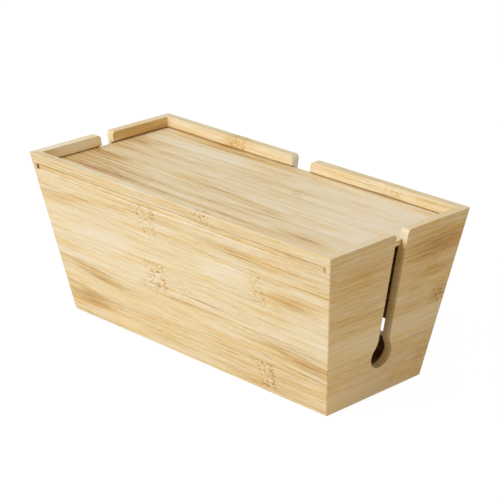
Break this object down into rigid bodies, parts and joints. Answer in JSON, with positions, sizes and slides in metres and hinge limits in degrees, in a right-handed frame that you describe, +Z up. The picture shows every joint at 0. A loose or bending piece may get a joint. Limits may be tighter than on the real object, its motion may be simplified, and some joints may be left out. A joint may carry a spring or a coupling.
{
  "type": "cable management box",
  "caption": "Long bamboo box with outward-leaning mitred walls, key-hole cable slots in the ends, a rear cable slot, low vents and a sunken lid that slides out to the front.",
  "frame": {"origin": "middle of the footprint, on the plane that the feet stand on", "axes": "+X to the right along the box's length, +Y from the front wall to the rear wall, +Z up"},
  "size_m": [0.3998, 0.1814, 0.1656],
  "materials": {
    "bamboo_walls": "fine sanded, clear matt oil",
    "bamboo_lid": "fine sanded, clear matt oil",
    "bamboo_base": "sanded, unfinished",
    "foot_rubber": "matt"
  },
  "bodies": {
    "box": {"front_wall": "bamboo_walls", "rear_wall": "bamboo_walls", "left_end_wall": "bamboo_walls", "right_end_wall": "bamboo_walls", "base_panel": "bamboo_base", "foot_front_left": "foot_rubber", "foot_front_right": "foot_rubber", "foot_rear_left": "foot_rubber", "foot_rear_right": "foot_rubber"},
    "lid": {"lid_panel": "bamboo_lid"}
  },
  "joints": [
    {"name": "lid_slide", "type": "slide", "parent": "box", "child": "lid", "axis": [0, -1, 0], "range_m": [0, 0.18]}
  ]
}
